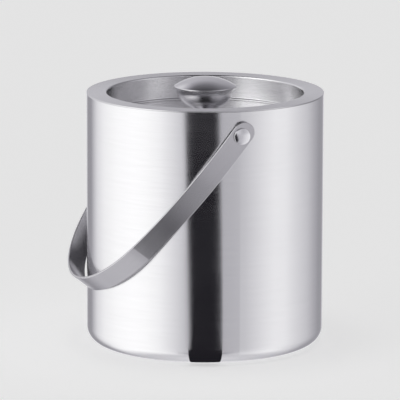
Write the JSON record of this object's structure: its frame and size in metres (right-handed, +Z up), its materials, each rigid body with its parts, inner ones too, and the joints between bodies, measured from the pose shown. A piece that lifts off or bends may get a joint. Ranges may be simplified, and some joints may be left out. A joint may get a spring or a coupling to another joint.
{
  "type": "ice bucket",
  "caption": "Double-walled brushed stainless ice bucket with a drop-in lid, mushroom knob and a flat swing handle.",
  "frame": {"origin": "centre of the non-slip pad's underside, on the surface that the bucket stands on", "axes": "+Z up along the bucket's axis; the handle pivots lie on the X axis and the handle hangs towards -Y"},
  "size_m": [0.1592, 0.1617, 0.1707],
  "materials": {
    "brushed_steel": "circumferentially brushed",
    "strap_steel": "brushed along the strap",
    "knob_steel": "fine spun satin",
    "stud_steel": "bright satin",
    "plain_steel": "plain",
    "brass": "turned",
    "foam": "moulded foam",
    "black_rubber": "matt",
    "clear_silicone": "translucent grey",
    "washer_nylon": "matt"
  },
  "bodies": {
    "bucket": {"outer_shell": "brushed_steel", "rim_ring": "brushed_steel", "lid_seat": "brushed_steel", "inner_liner": "brushed_steel", "insulation_jacket": "foam", "insulation_base": "foam", "foot_pad": "black_rubber", "pivot_stud_left": "stud_steel", "pivot_washer_left": "washer_nylon", "pivot_backing_plate_left": "plain_steel", "pivot_nut_left": "plain_steel", "pivot_stud_right": "stud_steel", "pivot_washer_right": "washer_nylon", "pivot_backing_plate_right": "plain_steel", "pivot_nut_right": "plain_steel"},
    "handle": {"handle_strap": "strap_steel"},
    "lid": {"lid_top_pan": "brushed_steel", "lid_bottom_pan": "brushed_steel", "lid_insulation": "foam", "lid_gasket": "clear_silicone", "knob_cap": "knob_steel", "knob_bowl": "knob_steel", "knob_neck": "knob_steel", "knob_insert": "brass", "knob_screw": "plain_steel", "knob_screw_washer": "plain_steel"}
  },
  "joints": [
    {"name": "handle_swing", "type": "hinge", "parent": "bucket", "child": "handle", "pos_m": [0, 0, 0.1458], "axis": [-1, 0, 0], "range_deg": [0, 283]},
    {"name": "lid_lift", "type": "slide", "parent": "bucket", "child": "lid", "axis": [0, 0, 1], "range_m": [0, 0.05]}
  ]
}
